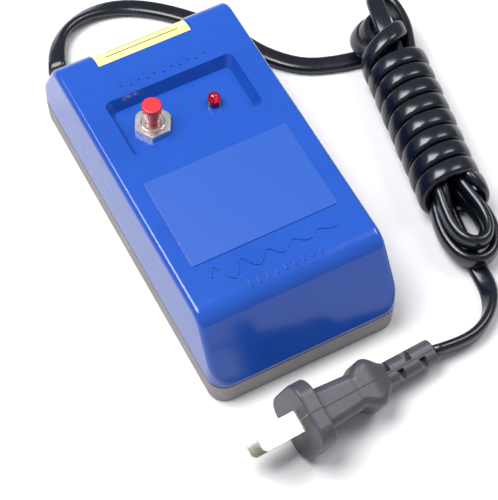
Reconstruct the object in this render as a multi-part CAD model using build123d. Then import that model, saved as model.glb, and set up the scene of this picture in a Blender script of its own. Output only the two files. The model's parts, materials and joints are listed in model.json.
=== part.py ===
from build123d import *
from math import cos, exp, pi, radians, sin, tan
import os

# Bench demagnetizer for watches. Millimetres, +Z up, standing on Z = 0, long side along Y,
# the control recess and the cord exit towards +Y, the work pad and the plug towards -Y.

# ---- case ----
CASE_LENGTH = 150.0
CASE_WIDTH = 75.6
SEAM_HEIGHT = 11.2           # parting line between base and top shell
DECK_HEIGHT = 40.5           # flat top of the case
WALL = 2.2
FLOOR = 2.4                  # base floor thickness
CORNER_RADIUS = 7.0
SIDE_DRAFT = 2.3             # degrees, upper side walls
BASE_DRAFT = 2.0             # degrees, base side walls
END_SLOPE = 28.0             # degrees from vertical, both ends
RIM_LIP = 1.5                # upright strip between seam and end slope
SHOULDER_RADIUS = 8.0
EDGE_RADIUS = 2.2
SEAM_BEVEL = 0.3

# ---- control recess and work pad ----
RECESS_SIZE = (52.6, 26.7)
RECESS_Y = 23.35
RECESS_DEPTH = 5.0
RECESS_INSET = 2.2           # how far the drafted walls come in at the floor
RECESS_FLOOR = DECK_HEIGHT - RECESS_DEPTH
PAD_SIZE = (58.0, 39.3)
PAD_Y = -21.45
PAD_RISE = 0.4

# ---- rating label on the far shoulder ----
LABEL_X = -1.2
LABEL_WIDTH = 39.4
LABEL_START_Y = 53.1
LABEL_BOTTOM_Z = 25.0
LABEL_RECESS = 0.8
LABEL_THICKNESS = 0.2
LABEL_MARGIN = 0.5

# ---- raised marks ----
MARK_RISE = 0.35
WAVE_SPAN = 50.0
WAVE_PERIODS = 5
WAVE_AMPLITUDE = 4.2
WAVE_DECAY = 1.7
WAVE_LINE = 1.0
WAVE_Y = -48.0
BAR_SIZE = (0.9, 3.2)
FAR_BAR_SIZE = (1.0, 4.6)
FAR_BAR_Y = 42.2

# ---- case screws ----
BOSS_X = 31.0
BOSS_Y = 50.0
BOSS_DIAMETER = 8.0
CASE_SCREW_SEAT = 3.2        # height of the seat that the screw head pulls on
CASE_SCREW_SHANK = 2.9
CASE_SCREW_LENGTH = 14.0
CASE_SCREW_HEAD = (5.6, 2.0)

# ---- push switch ----
SWITCH_X, SWITCH_Y = -13.0, 23.0
BUTTON_TRAVEL = 3.0
BUSH_DIAMETER = 9.0
BUSH_BORE = 5.4
BUSH_TOP = 38.6
STEM_DIAMETER = 5.2
NUT_ACROSS_FLATS = 13.0
NUT_HEIGHT = 2.4
NUT_TURN = -27.8             # degrees, where the nut happened to stop
PANEL_UNDERSIDE = RECESS_FLOOR - WALL
WASHER_HEIGHT = 0.6
FLANGE_HEIGHT = 1.0
HOUSING_TOP = PANEL_UNDERSIDE - WASHER_HEIGHT - FLANGE_HEIGHT
HOUSING_SIDE = 13.0
HOUSING_HEIGHT = 15.2
HOUSING_LID = 1.5
HOUSING_CAVITY = 10.4
TERMINAL_X = 4.6             # each side of the switch axis
TERMINAL_END = HOUSING_TOP - HOUSING_HEIGHT - 5.5
CAP_TOP = 48.2
CAP_BOTTOM = 41.8
BRIDGE_BOTTOM = 28.0
BRIDGE_THICKNESS = 0.5
COLLAR_HEIGHT = 1.5
SPRING_WIRE = 0.5
SPRING_DIAMETER = 4.4        # of the wire's centre line
SPRING_TURNS = 7

# ---- indicator ----
LED_X, LED_Y = 11.6, 21.8
LED_DIAMETER = 5.0
LED_FLANGE = (5.8, 1.0)
LED_DOME_TOP = 40.9
LED_PITCH = 2.54
LEAD_DIAMETER = 0.6
LED_LEAD_END = 11.5          # where the wires are soldered on

# ---- magnet core and coil ----
CORE_Y = PAD_Y
CORE_WIDTH = 48.0
CORE_STACK = 20.0
CORE_HEIGHT = 32.0
CORE_BOTTOM = 5.0
CORE_BACK = 8.0              # yoke height; the outer legs are as wide
CORE_CENTRE_LEG = 16.0
CORE_HOLE_X = 20.0
CORE_HOLE_Z = 9.0
BOBBIN_BOTTOM = 13.3
BOBBIN_TOP = 35.5
BOBBIN_FLANGE = (31.0, 35.0, 1.2)
BOBBIN_TUBE_WALL = 1.0
WINDING_SIZE = (29.4, 33.2)
TAPE_SIZE = (30.3, 34.1)
BRACKET_THICKNESS = 1.2
BRACKET_FOOT = 9.0
BRACKET_SCREW_X = 16.0
BOLT_DIAMETER = 3.0

# ---- supply cord ----
CORD_WIDTH = 7.3
CORD_THICKNESS = 3.8
CORD_EXIT_X = -26.5
CORD_EXIT_Z = 5.6
BOOT_INSIDE = 10.5           # length of the strain relief inside the wall
BOOT_OUTSIDE = 10.0
CLAMP_Y = 61.0
JACKET_END_Y = 58.5
WIRE_DIAMETER = 1.8
WIRE_HEIGHT = 7.2            # of the crimp joints above the table
CRIMP_LENGTH = 13.0
CRIMP_DIAMETER = 7.0
CRIMP_NEUTRAL = (20.0, 6.5)  # mouth of the cap, which points along +X
CRIMP_SWITCHED = (-4.0, 44.0)    # mouth of the cap, which points along +Y

# Hank: a bundle of folded cord with the cord wound round it.
HANK_AT = (88.8, 12.6)
HANK_HEADING = (-0.182, -0.983)
HANK_RADIUS = 12.5
HANK_TOP = -13.0             # along the hank from HANK_AT, first wrap
HANK_BOTTOM = 60.0           # last wrap

LEAD_ROUTE = [
    (-26.7, 84.2, 5.7), (-23.4, 94.3, 3.7), (-16.2, 103.4, 3.2), (-4.6, 107.8, 2.7),
    (8.6, 106.2, 2.1), (21.2, 98.8, 2.1), (34.2, 85.6, 2.1), (45.2, 69.4, 2.1),
    (50.4, 56.5, 2.1), (61.5, 43.8, 2.1), (74.5, 38.6, 2.1), (85.0, 36.4, 2.1),
]
TAIL_ROUTE = [
    (76.2, -62.0, 2.6), (75.0, -72.0, 2.3), (72.5, -81.3, 3.2), (66.8, -89.4, 3.8),
    (58.4, -93.9, 4.0), (48.5, -94.4, 4.9), (38.9, -93.3, 6.3),
]

# ---- plug ----
PLUG_FACE = (-18.9, -100.0, 15.2)    # centre of the face that the blades come out of
PLUG_BACK = (38.9, -93.3, 6.3)       # centre of the cord end
PLUG_ROLL = 17.5
PLUG_FLANGE = (25.0, 25.5, 6.4)
PLUG_RELIEF_START = 36.6
PLUG_RELIEF_SIZE = 9.4
BLADE_SIZE = (1.5, 18.3)        # thickness, length outside the face
BLADE_WIDTHS = (7.9, 6.35)      # the polarised blade first
BLADE_SPACING = 12.7


def rounded_prism(width, length, radius, bottom, top, taper=0.0):
    """Upright prism with rounded corners, centred on the Z axis."""
    base = Plane.XY.offset(bottom) * RectangleRounded(width, length, radius)
    return extrude(base, top - bottom, taper=taper)


def block(low, high):
    """Box between two corners."""
    size = [b - a for a, b in zip(low, high)]
    centre = [(a + b) / 2 for a, b in zip(low, high)]
    return Pos(*centre) * Box(*size)


def post(x, y, diameter, bottom, top):
    """Upright cylinder."""
    return Pos(x, y, (bottom + top) / 2) * Cylinder(diameter / 2, top - bottom)


def pan_screw(head, shank_diameter, length):
    """Cross-recessed pan-head screw: head seat at Z = 0, shank upwards, head below."""
    head_diameter, head_height = head
    screw = post(0, 0, head_diameter, -head_height, 0)
    screw = fillet(screw.edges().sort_by(Axis.Z)[:1], head_height * 0.4)
    screw += post(0, 0, shank_diameter, 0, length)
    arm, slot = head_diameter * 0.55, head_diameter * 0.14
    depth = head_height * 0.6
    for size in ((arm, slot), (slot, arm)):
        screw -= Pos(0, 0, -head_height + depth / 2) * Box(*size, depth)
    return screw


# ---- case ----

def case_form(inset):
    """Upper case as a solid, made smaller by inset on every side and on top."""
    slope = tan(radians(END_SLOPE))
    lip_height = SEAM_HEIGHT + RIM_LIP
    deck_end = CASE_LENGTH / 2 - (DECK_HEIGHT - lip_height) * slope
    low = SEAM_HEIGHT - 6.0
    low_end = deck_end + (DECK_HEIGHT - low) * slope
    outline = Polyline((-low_end, low), (-deck_end, DECK_HEIGHT), (deck_end, DECK_HEIGHT),
                       (low_end, low), close=True)
    side_view = make_face(outline)
    side_view = fillet(side_view.vertices().sort_by(Axis.Y)[-2:], SHOULDER_RADIUS)
    if inset:
        side_view = offset(side_view, amount=-inset)
    across = extrude(Plane.YZ * side_view, CASE_WIDTH, both=True)
    prism = rounded_prism(CASE_WIDTH - 2 * inset, CASE_LENGTH - 2 * inset,
                          CORNER_RADIUS - inset, SEAM_HEIGHT, DECK_HEIGHT + 4, SIDE_DRAFT)
    return prism & across


def soften_case(form):
    """Rounds the edge that runs round the deck, the shoulders and both end slopes."""
    inner_y = CASE_LENGTH / 2 - 1.0
    rim = []
    for edge in form.edges():
        box = edge.bounding_box()
        crosses = box.size.X > 10 and box.size.Y < 0.01
        inside = crosses and abs(box.center().Y) < inner_y
        if box.min.Z > SEAM_HEIGHT + 0.5 and not inside:
            rim.append(edge)
    return fillet(rim, EDGE_RADIUS)


def recess_form(grow, bottom, top):
    """Drafted control recess, grown by a wall thickness where a block is wanted."""
    width, length = RECESS_SIZE
    spread = RECESS_INSET / RECESS_DEPTH
    sections = []
    for height in (bottom, top):
        change = 2 * grow - 2 * spread * (DECK_HEIGHT - height)
        outline = RectangleRounded(width + change, length + change, 2.4)
        sections.append(Pos(0, RECESS_Y, height) * outline)
    return loft(sections, ruled=True)


def label_band(outer_inset, inner_inset, margin):
    """Skin of the case between two insets, over the far shoulder."""
    half = LABEL_WIDTH / 2 - margin
    window = block((LABEL_X - half, LABEL_START_Y + margin, LABEL_BOTTOM_Z + margin),
                   (LABEL_X + half, CASE_LENGTH, DECK_HEIGHT + 5))
    return (case_form(outer_inset) - case_form(inner_inset)) & window


def decaying_wave():
    """Flat outline of a sine wave that dies away."""
    samples = 8 * WAVE_PERIODS
    points = []
    for i in range(samples + 1):
        part = i / samples
        height = WAVE_AMPLITUDE * exp(-WAVE_DECAY * part) * sin(2 * pi * WAVE_PERIODS * part)
        points.append((WAVE_SPAN * (part - 0.5), height))
    return trace(Spline(*points), WAVE_LINE)


def raised_marks():
    """Wave by the pad and two rows of plain bars, as solids that stand on the case skin."""
    tall = DECK_HEIGHT + 5
    marks = extrude(Pos(0, WAVE_Y, 30) * decaying_wave(), tall - 30)
    width, length = BAR_SIZE
    for i in range(9):
        size = length * (1 - 0.07 * i)
        marks += Pos(-14 + 3.5 * i, -55.6, tall / 2 + 15) * Box(width, size, tall - 30)
    width, length = FAR_BAR_SIZE
    for i in range(11):
        size = length if i % 2 else length * 0.55
        marks += Pos(-17 + 3.4 * i, FAR_BAR_Y, tall / 2 + 15) * Box(width, size, tall - 30)
    return marks


def make_top_shell():
    """Blue upper shell: drafted box with a sunk control panel and a raised work pad."""
    outer = soften_case(case_form(0))
    shell = outer - case_form(WALL) - block((-CASE_WIDTH, -CASE_LENGTH, SEAM_HEIGHT - 8),
                                            (CASE_WIDTH, CASE_LENGTH, SEAM_HEIGHT))
    cavity_low = rounded_prism(CASE_WIDTH - 2 * WALL, CASE_LENGTH - 2 * WALL,
                               CORNER_RADIUS - WALL, SEAM_HEIGHT - 1, SEAM_HEIGHT + 0.6)
    shell -= cavity_low
    shell += recess_form(WALL, RECESS_FLOOR - WALL, DECK_HEIGHT - 0.5)
    for x in (-BOSS_X, BOSS_X):
        for y in (-BOSS_Y, BOSS_Y):
            shell += post(x, y, BOSS_DIAMETER, SEAM_HEIGHT, DECK_HEIGHT - 6) & case_form(1.0)
            shell -= post(x, y, CASE_SCREW_SHANK + 0.1, SEAM_HEIGHT - 1,
                          CASE_SCREW_SEAT + CASE_SCREW_LENGTH + 1)
    shell -= recess_form(0, RECESS_FLOOR, DECK_HEIGHT + 1)
    shell -= label_band(-1.0, LABEL_RECESS, 0)
    pad = rounded_prism(PAD_SIZE[0], PAD_SIZE[1], 1.0, DECK_HEIGHT - 0.5, DECK_HEIGHT + PAD_RISE)
    pad = fillet(pad.faces().sort_by(Axis.Z)[-1].edges(), 0.25)
    shell += Pos(0, PAD_Y, 0) * pad
    shell += raised_marks() & (case_form(-MARK_RISE) - case_form(1.0))
    shell -= post(SWITCH_X, SWITCH_Y, BUSH_DIAMETER + 0.4, PANEL_UNDERSIDE - 1, DECK_HEIGHT)
    shell -= post(LED_X, LED_Y, LED_DIAMETER + 0.2, PANEL_UNDERSIDE - 1, DECK_HEIGHT)
    seam_edges = [e for e in shell.edges()
                  if abs(e.bounding_box().max.Z - SEAM_HEIGHT) < 0.01
                  and (abs(e.center().X) > CASE_WIDTH / 2 - 4 or abs(e.center().Y) > CASE_LENGTH / 2 - 4)
                  and e.distance_to(Vector(0, 0, SEAM_HEIGHT)) > CASE_WIDTH / 2 - 0.5]
    return chamfer(seam_edges, SEAM_BEVEL)


def make_base_shell():
    """Grey tray: floor, bosses, core ribs, cord bed and the tongue that locates the top."""
    downward = Plane(origin=(0, 0, SEAM_HEIGHT), z_dir=(0, 0, -1))
    outline = downward * RectangleRounded(CASE_WIDTH, CASE_LENGTH, CORNER_RADIUS)
    base = extrude(outline, SEAM_HEIGHT, taper=BASE_DRAFT)
    base = fillet(base.faces().sort_by(Axis.Z)[0].edges(), 1.0)
    base = chamfer(base.faces().sort_by(Axis.Z)[-1].edges(), SEAM_BEVEL)
    inner = (CASE_WIDTH - 2 * WALL, CASE_LENGTH - 2 * WALL, CORNER_RADIUS - WALL)
    base -= rounded_prism(*inner, FLOOR, SEAM_HEIGHT + 1)
    gap, tongue = 0.3, 1.3
    low_ring = rounded_prism(*inner, SEAM_HEIGHT - 3, SEAM_HEIGHT)
    high_ring = rounded_prism(inner[0] - 2 * gap, inner[1] - 2 * gap, inner[2] - gap,
                              SEAM_HEIGHT, SEAM_HEIGHT + 1.2, SIDE_DRAFT)
    hollow = rounded_prism(inner[0] - 2 * tongue, inner[1] - 2 * tongue, inner[2] - tongue,
                           SEAM_HEIGHT - 4, SEAM_HEIGHT + 3)
    tongue_ring = (low_ring + high_ring) - hollow
    for x in (-BOSS_X, BOSS_X):
        for y in (-BOSS_Y, BOSS_Y):
            tongue_ring -= post(x, y, BOSS_DIAMETER + 0.6, SEAM_HEIGHT, SEAM_HEIGHT + 3)
    base += tongue_ring
    for x in (-BOSS_X, BOSS_X):
        for y in (-BOSS_Y, BOSS_Y):
            base += post(x, y, BOSS_DIAMETER, FLOOR - 1, SEAM_HEIGHT)
            base -= post(x, y, CASE_SCREW_HEAD[0] + 0.8, -1, CASE_SCREW_SEAT)
            base -= post(x, y, CASE_SCREW_SHANK + 0.4, CASE_SCREW_SEAT - 1, SEAM_HEIGHT + 1)
    half_stack = CORE_STACK / 2
    for x in (-CORE_WIDTH / 3, 0, CORE_WIDTH / 3):
        base += block((x - 0.9, CORE_Y - half_stack, FLOOR - 1), (x + 0.9, CORE_Y + half_stack, CORE_BOTTOM))
    for x, y in bracket_screw_places():
        base += post(x, y, 6.0, FLOOR - 1, CORE_BOTTOM)
        base -= post(x, y, 2.6, 1.2, CORE_BOTTOM + 1)
    base += block((CORD_EXIT_X - 4, CLAMP_Y - 3, FLOOR - 1),
                  (CORD_EXIT_X + 4, CLAMP_Y + 3, CORD_EXIT_Z - CORD_THICKNESS / 2))
    base += block((CORD_EXIT_X - 6.2, CLAMP_Y - 3, FLOOR - 1), (CORD_EXIT_X - 4, CLAMP_Y + 3, 6.8))
    base += post(CORD_EXIT_X + 7.5, CLAMP_Y, 6.0, FLOOR - 1, 6.8)
    base -= post(CORD_EXIT_X + 7.5, CLAMP_Y, 2.6, 1.4, 8)
    base -= block((CORD_EXIT_X - 4.0, CASE_LENGTH / 2 - 6, 1.6), (CORD_EXIT_X + 4.0, CASE_LENGTH, 9.6))
    return base


def make_case_screws():
    """Four thread-forming screws that come up through the base bosses."""
    screw = pan_screw(CASE_SCREW_HEAD, CASE_SCREW_SHANK, CASE_SCREW_LENGTH)
    places = [(x, y) for x in (-BOSS_X, BOSS_X) for y in (-BOSS_Y, BOSS_Y)]
    return Compound(children=[Pos(x, y, CASE_SCREW_SEAT) * screw for x, y in places])


# ---- push switch ----

def make_switch_bush():
    """Nickel bush: threaded neck through the panel, flange under it, spigot in the housing."""
    flange_top = HOUSING_TOP + FLANGE_HEIGHT
    bush = post(0, 0, BUSH_DIAMETER, HOUSING_TOP - HOUSING_LID, BUSH_TOP)
    bush = chamfer(bush.edges().sort_by(Axis.Z)[-1:], 0.4)
    bush += post(0, 0, 12.4, HOUSING_TOP, flange_top)
    bush -= post(0, 0, BUSH_BORE, 0, BUSH_TOP + 1)
    return Pos(SWITCH_X, SWITCH_Y, 0) * bush


def make_switch_nut():
    """Hexagon panel nut with chamfered corners."""
    circumradius = NUT_ACROSS_FLATS / 2 / cos(pi / 6)
    top = RECESS_FLOOR + NUT_HEIGHT
    hexagon = Pos(0, 0, RECESS_FLOOR) * RegularPolygon(circumradius, 6, rotation=30)
    nut = extrude(hexagon, NUT_HEIGHT)
    cone = Pos(0, 0, top - 3.0) * Cone(circumradius + 3.6, circumradius - 0.5, 3.0,
                                       align=(Align.CENTER, Align.CENTER, Align.MIN))
    nut = nut & cone
    nut -= post(0, 0, BUSH_DIAMETER + 0.06, 0, top + 1)
    return Pos(SWITCH_X, SWITCH_Y, 0) * Rot(0, 0, NUT_TURN) * nut


def make_lock_washer():
    """Internal-tooth washer between the bush flange and the underside of the panel."""
    bottom = PANEL_UNDERSIDE - WASHER_HEIGHT
    washer = post(0, 0, 12.4, bottom, PANEL_UNDERSIDE) - post(0, 0, 10.6, 0, 50)
    for i in range(12):
        tooth = Pos(5.05, 0, bottom + WASHER_HEIGHT / 2) * Box(0.9, 1.2, WASHER_HEIGHT)
        washer += Rot(0, 0, 30 * i) * tooth
    return Pos(SWITCH_X, SWITCH_Y, 0) * washer


def make_switch_housing():
    """Square phenolic housing with a round bore and slots for the two terminals."""
    bottom = HOUSING_TOP - HOUSING_HEIGHT
    housing = rounded_prism(HOUSING_SIDE, HOUSING_SIDE, 1.2, bottom, HOUSING_TOP)
    housing -= post(0, 0, HOUSING_CAVITY, bottom + 1.6, HOUSING_TOP - HOUSING_LID)
    housing -= post(0, 0, BUSH_DIAMETER + 0.06, HOUSING_TOP - HOUSING_LID - 1, HOUSING_TOP + 1)
    for x in (-TERMINAL_X, TERMINAL_X):
        housing -= Pos(x, 0, bottom + 1) * Box(0.7, 3.1, 4)
    return Pos(SWITCH_X, SWITCH_Y, 0) * housing


def make_switch_terminals():
    """Two fixed contacts: a pad beside the bore and a solder tail below the housing."""
    top = BRIDGE_BOTTOM - BUTTON_TRAVEL - 0.05
    tail = TERMINAL_END
    terminals = []
    for side in (-1, 1):
        low_x, high_x = sorted((side * (TERMINAL_X - 0.3), side * (TERMINAL_X + 0.3)))
        strip = block((low_x, -1.5, tail), (high_x, 1.5, top))
        pad_low, pad_high = sorted((side * 3.2, side * (TERMINAL_X + 0.3)))
        strip += block((pad_low, -1.5, top - 0.6), (pad_high, 1.5, top))
        strip -= Pos(side * TERMINAL_X, 0, tail + 1.6) * Rot(0, 90, 0) * Cylinder(0.6, 2)
        terminals.append(Pos(SWITCH_X, SWITCH_Y, 0) * strip)
    return Compound(children=terminals)


def make_plunger():
    """Red stem that carries the contact bridge, with a collar that stops it under the bush."""
    bridge_top = BRIDGE_BOTTOM + BRIDGE_THICKNESS
    stem = post(0, 0, STEM_DIAMETER, bridge_top, CAP_BOTTOM)
    stem += post(0, 0, 8.4, bridge_top, bridge_top + COLLAR_HEIGHT)
    stem += post(0, 0, 3.0, CAP_BOTTOM, CAP_BOTTOM + 3.5)
    stem += post(0, 0, 2.4, BRIDGE_BOTTOM - 3.4, bridge_top)
    return Pos(SWITCH_X, SWITCH_Y, 0) * stem


def make_button_cap():
    """Red cap, a little wider at the top, pressed on the stem."""
    cap = Pos(0, 0, CAP_BOTTOM) * Cone(3.25, 3.8, CAP_TOP - CAP_BOTTOM,
                                       align=(Align.CENTER, Align.CENTER, Align.MIN))
    cap = fillet(cap.edges().sort_by(Axis.Z)[-1:], 0.6)
    cap = fillet(cap.edges().sort_by(Axis.Z)[:1], 0.3)
    cap -= post(0, 0, 3.0, CAP_BOTTOM - 1, CAP_BOTTOM + 3.5)
    return Pos(SWITCH_X, SWITCH_Y, 0) * cap


def make_contact_bridge():
    """Brass strip under the collar that joins the two fixed contacts when pressed."""
    bridge = block((-4.5, -1.9, BRIDGE_BOTTOM), (4.5, 1.9, BRIDGE_BOTTOM + BRIDGE_THICKNESS))
    bridge -= post(0, 0, 2.5, BRIDGE_BOTTOM - 1, BRIDGE_BOTTOM + 2)
    return Pos(SWITCH_X, SWITCH_Y, 0) * bridge


def make_return_spring():
    """Compression spring between the housing floor and the bridge."""
    bottom = HOUSING_TOP - HOUSING_HEIGHT + 1.6 + SPRING_WIRE / 2
    height = BRIDGE_BOTTOM - 0.05 - SPRING_WIRE / 2 - bottom
    path = Helix(height / SPRING_TURNS, height, SPRING_DIAMETER / 2)
    start = Plane(origin=path @ 0, z_dir=path % 0)
    spring = sweep(start * Circle(SPRING_WIRE / 2), path=path, is_frenet=True)
    return Pos(SWITCH_X, SWITCH_Y, bottom) * spring


# ---- indicator ----

def make_led_lens():
    """Red 5 mm lens, held from behind by its flange."""
    radius = LED_DIAMETER / 2
    flange_diameter, flange_height = LED_FLANGE
    bottom = PANEL_UNDERSIDE - flange_height
    lens = post(0, 0, LED_DIAMETER, bottom, LED_DOME_TOP - radius)
    lens += Pos(0, 0, LED_DOME_TOP - radius) * Sphere(radius)
    lens += post(0, 0, flange_diameter, bottom, PANEL_UNDERSIDE)
    return Pos(LED_X, LED_Y, 0) * lens


def led_lead_places():
    """The two lead positions under the lens."""
    return [(LED_X - LED_PITCH / 2, LED_Y), (LED_X + LED_PITCH / 2, LED_Y)]


def make_led_leads():
    """Two leads from the lens to the diode and the resistor."""
    top = PANEL_UNDERSIDE - LED_FLANGE[1]
    bottoms = (21.2, 28.0)
    leads = [post(x, y, LEAD_DIAMETER, z, top) for (x, y), z in zip(led_lead_places(), bottoms)]
    return Compound(children=leads)


def axial_part(x, y, diameter, bottom, top, lead_end):
    """Small upright component with a lead below."""
    body = fillet(post(x, y, diameter, bottom, top).edges(), 0.4)
    return body + post(x, y, LEAD_DIAMETER, lead_end, bottom)


def make_led_diode():
    """Rectifier diode that keeps reverse voltage off the lens."""
    x, y = led_lead_places()[0]
    return axial_part(x, y, 2.7, 16.0, 21.2, LED_LEAD_END)


def make_led_resistor():
    """Series resistor."""
    x, y = led_lead_places()[1]
    return axial_part(x, y, 2.4, 21.6, 28.0, LED_LEAD_END)


# ---- magnet ----

def make_core_stack():
    """Stack of E laminations with the legs up, open towards the pad."""
    half = CORE_WIDTH / 2
    window_bottom = CORE_BOTTOM + CORE_BACK
    top = CORE_BOTTOM + CORE_HEIGHT
    y0, y1 = CORE_Y - CORE_STACK / 2, CORE_Y + CORE_STACK / 2
    core = block((-half, y0, CORE_BOTTOM), (half, y1, top))
    for side in (-1, 1):
        near, far = sorted((side * CORE_CENTRE_LEG / 2, side * (half - CORE_BACK)))
        core -= block((near, y0 - 1, window_bottom), (far, y1 + 1, top + 1))
        core -= bolt_hole(side)
    return core


def bolt_hole(side):
    """Through hole for a clamp bolt, along Y."""
    return (Pos(side * CORE_HOLE_X, CORE_Y, CORE_HOLE_Z) * Rot(90, 0, 0)
            * Cylinder(BOLT_DIAMETER / 2 + 0.2, CORE_STACK + 20))


def ring(outer, inner, radius, bottom, top):
    """Rounded rectangular ring round the core's centre leg."""
    body = rounded_prism(outer[0], outer[1], radius, bottom, top)
    return body - rounded_prism(inner[0], inner[1], 0.3, bottom - 1, top + 1)


def make_coil_bobbin():
    """Nylon bobbin: square tube with two flanges."""
    hole = (CORE_CENTRE_LEG + 0.4, CORE_STACK + 0.4)
    tube = tuple(side + 2 * BOBBIN_TUBE_WALL for side in hole)
    flange_x, flange_y, thick = BOBBIN_FLANGE
    bobbin = ring(tube, hole, 1.2, BOBBIN_BOTTOM, BOBBIN_TOP)
    bobbin += ring((flange_x, flange_y), hole, 1.5, BOBBIN_BOTTOM, BOBBIN_BOTTOM + thick)
    bobbin += ring((flange_x, flange_y), hole, 1.5, BOBBIN_TOP - thick, BOBBIN_TOP)
    return Pos(0, CORE_Y, 0) * bobbin


def make_coil_winding():
    """Copper winding between the flanges."""
    thick = BOBBIN_FLANGE[2]
    inner = (CORE_CENTRE_LEG + 2.6, CORE_STACK + 2.6)
    winding = ring(WINDING_SIZE, inner, 3.0, BOBBIN_BOTTOM + thick + 0.1, BOBBIN_TOP - thick - 0.1)
    return Pos(0, CORE_Y, 0) * winding


def make_coil_tape():
    """Insulating tape wrapped round the winding."""
    body = rounded_prism(TAPE_SIZE[0], TAPE_SIZE[1], 3.4, BOBBIN_BOTTOM + 2, BOBBIN_TOP - 2)
    body -= rounded_prism(WINDING_SIZE[0] + 0.1, WINDING_SIZE[1] + 0.1, 3.05, BOBBIN_BOTTOM, BOBBIN_TOP)
    return Pos(0, CORE_Y, 0) * body


def bracket_screw_places():
    """Screw positions in the bracket feet, both sides of the core."""
    reach = CORE_STACK / 2 + BRACKET_THICKNESS + 4.6
    return [(x, CORE_Y + side * reach) for side in (-1, 1) for x in (-BRACKET_SCREW_X, BRACKET_SCREW_X)]


def make_bracket(side):
    """Steel angle bolted to one face of the core, side -1 near or +1 far."""
    half = CORE_WIDTH / 2
    face = CORE_Y + side * CORE_STACK / 2
    plate = sorted((face, face + side * BRACKET_THICKNESS))
    foot = sorted((face, face + side * BRACKET_FOOT))
    bracket = block((-half, plate[0], CORE_BOTTOM), (half, plate[1], CORE_BOTTOM + CORE_BACK - 0.6))
    bracket += block((-half, foot[0], CORE_BOTTOM), (half, foot[1], CORE_BOTTOM + BRACKET_THICKNESS))
    for x, y in bracket_screw_places():
        bracket -= post(x, y, 3.0, CORE_BOTTOM - 1, CORE_BOTTOM + 3)
    for end in (-1, 1):
        bracket -= bolt_hole(end)
    return bracket


def make_core_bolts():
    """Two bolts through the laminations and both brackets."""
    start = CORE_Y - CORE_STACK / 2 - BRACKET_THICKNESS
    length = CORE_STACK + 2 * BRACKET_THICKNESS + 4.0
    bolts = []
    for side in (-1, 1):
        bolt = pan_screw((5.4, 1.8), BOLT_DIAMETER, length)
        bolts.append(Pos(side * CORE_HOLE_X, start, CORE_HOLE_Z) * Rot(-90, 0, 0) * bolt)
    return Compound(children=bolts)


def make_core_nuts():
    """Hexagon nuts on the far ends of the clamp bolts."""
    start = CORE_Y + CORE_STACK / 2 + BRACKET_THICKNESS
    nuts = []
    for side in (-1, 1):
        nut = extrude(RegularPolygon(5.5 / 2 / cos(pi / 6), 6), 2.4)
        nut -= Cylinder(BOLT_DIAMETER / 2 + 0.04, 10)
        nuts.append(Pos(side * CORE_HOLE_X, start, CORE_HOLE_Z) * Rot(-90, 0, 0) * nut)
    return Compound(children=nuts)


def make_bracket_screws():
    """Four screws that hold the bracket feet to the base posts."""
    screw = Rot(180, 0, 0) * pan_screw((4.6, 1.6), 2.5, 4.8)
    seat = CORE_BOTTOM + BRACKET_THICKNESS
    return Compound(children=[Pos(x, y, seat) * screw for x, y in bracket_screw_places()])


# ---- cord entry and wiring ----

def boot_section(y, width, height):
    """Section of the strain relief at one distance along Y."""
    plane = Plane(origin=(CORD_EXIT_X, y, CORD_EXIT_Z), x_dir=(1, 0, 0), z_dir=(0, 1, 0))
    return plane * RectangleRounded(width, height, min(width, height) * 0.42)


def make_cord_boot():
    """Moulded strain relief: tapered outside, necked in the wall, flanged inside."""
    wall_out = CASE_LENGTH / 2
    wall_in = wall_out - WALL - 1.2
    boot = loft([boot_section(wall_out, 9.4, 7.8), boot_section(wall_out + BOOT_OUTSIDE, 7.8, 5.0)])
    boot += extrude(boot_section(wall_in, 7.7, 7.7), wall_out - wall_in)
    boot += extrude(boot_section(wall_in - 2.0, 10.4, 6.2), 2.0)
    tail = [boot_section(wall_out - BOOT_INSIDE, 7.4, 4.6), boot_section(wall_in - 2.0, 8.6, 5.8)]
    return boot + loft(tail)


def cord_section():
    """Flat oval section of the jacket."""
    return SlotOverall(CORD_WIDTH, CORD_THICKNESS)


def make_cord_inner_end():
    """Cord inside the case, from the strain relief to where the jacket is stripped."""
    start = CASE_LENGTH / 2 - BOOT_INSIDE
    plane = Plane(origin=(CORD_EXIT_X, JACKET_END_Y, CORD_EXIT_Z), x_dir=(1, 0, 0), z_dir=(0, 1, 0))
    return extrude(plane * cord_section(), start - JACKET_END_Y)


def make_cord_clamp():
    """Bar over the cord, hooked on a ledge and held by one screw."""
    top_of_cord = CORD_EXIT_Z + CORD_THICKNESS / 2
    clamp = block((CORD_EXIT_X - 6.2, CLAMP_Y - 3, 6.8), (CORD_EXIT_X + 10.5, CLAMP_Y + 3, 9.8))
    clamp -= block((CORD_EXIT_X - 4, CLAMP_Y - 4, 6), (CORD_EXIT_X + 4, CLAMP_Y + 4, top_of_cord))
    clamp = fillet(clamp.edges().filter_by(Axis.Y).sort_by(Axis.Z)[-2:], 0.8)
    return clamp - post(CORD_EXIT_X + 7.5, CLAMP_Y, 2.9, 5, 11)


def make_clamp_screw():
    """Screw of the cord clamp."""
    screw = Rot(180, 0, 0) * pan_screw((4.8, 1.6), 2.5, 8.0)
    return Pos(CORD_EXIT_X + 7.5, CLAMP_Y, 9.8) * screw


def tube(points, section_diameter):
    """Round wire along straight runs joined by tangent arcs."""
    path = smooth_path(points)
    start = Plane(origin=path @ 0, z_dir=path % 0)
    return sweep(start * Circle(section_diameter / 2), path=path)


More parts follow.
